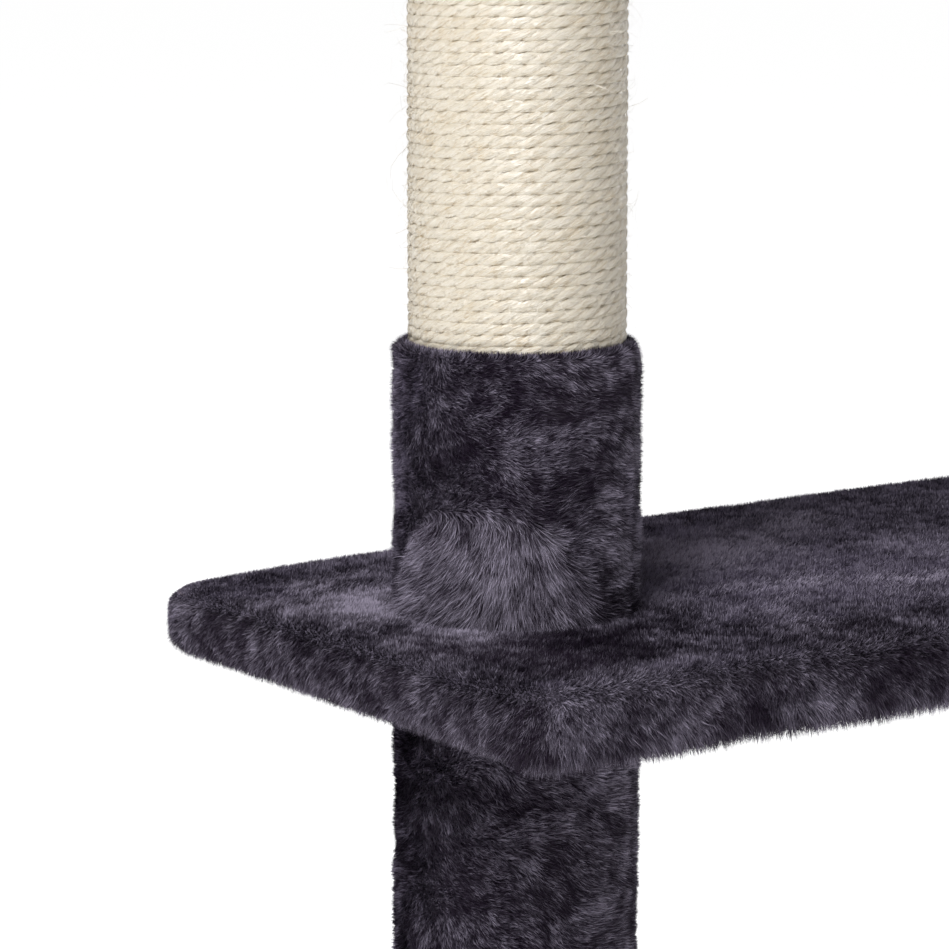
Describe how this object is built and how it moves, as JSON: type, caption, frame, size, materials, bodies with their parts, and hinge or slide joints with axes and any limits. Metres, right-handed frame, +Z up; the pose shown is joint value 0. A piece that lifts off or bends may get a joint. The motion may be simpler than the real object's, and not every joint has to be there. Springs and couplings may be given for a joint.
{
  "type": "cat tree",
  "caption": "Free-standing cat tree with plush-covered base, long shelf and perch on sisal-wound posts with plush collars.",
  "frame": {"origin": "on the floor, in the middle of the base", "axes": "+X along the shelf from the tall left column to the short right one, +Y to the back, +Z up"},
  "size_m": [0.619, 0.419, 0.867],
  "materials": {
    "plush": "short dense pile, brushed, dark grey violet",
    "sisal_rope": "twisted natural sisal fibre, matte",
    "cardboard": "spiral-wound kraft board, matte",
    "fibreboard": "raw sanded fibreboard, matte",
    "felt": "thin pressed felt, matte",
    "foam": "open-cell foam sheet, matte",
    "staple_wire": "galvanised flat wire",
    "zinc_steel": "bright zinc plate"
  },
  "bodies": {
    "root": {"base_board": "fibreboard", "base_bolts": "zinc_steel", "base_cover": "plush", "base_staples": "staple_wire", "base_underlay": "felt", "base_washers": "zinc_steel", "left_lower_post_cover": "plush", "left_lower_post_inserts": "zinc_steel", "left_lower_post_plugs": "fibreboard", "left_lower_post_tube": "cardboard", "left_upper_post_inserts": "zinc_steel", "left_upper_post_lower_collar": "plush", "left_upper_post_plugs": "fibreboard", "left_upper_post_sisal": "sisal_rope", "left_upper_post_tube": "cardboard", "left_upper_post_upper_collar": "plush", "perch_board": "fibreboard", "perch_cover": "plush", "perch_foam": "foam", "perch_insert": "zinc_steel", "perch_staples": "staple_wire", "perch_stud": "zinc_steel", "perch_underlay": "felt", "right_post_inserts": "zinc_steel", "right_post_lower_collar": "plush", "right_post_plugs": "fibreboard", "right_post_sisal": "sisal_rope", "right_post_tube": "cardboard", "right_post_upper_collar": "plush", "shelf_board": "fibreboard", "shelf_cover": "plush", "shelf_end_stud": "zinc_steel", "shelf_insert": "zinc_steel", "shelf_joining_stud": "zinc_steel", "shelf_staples": "staple_wire", "shelf_underlay": "felt"}
  },
  "joints": []
}
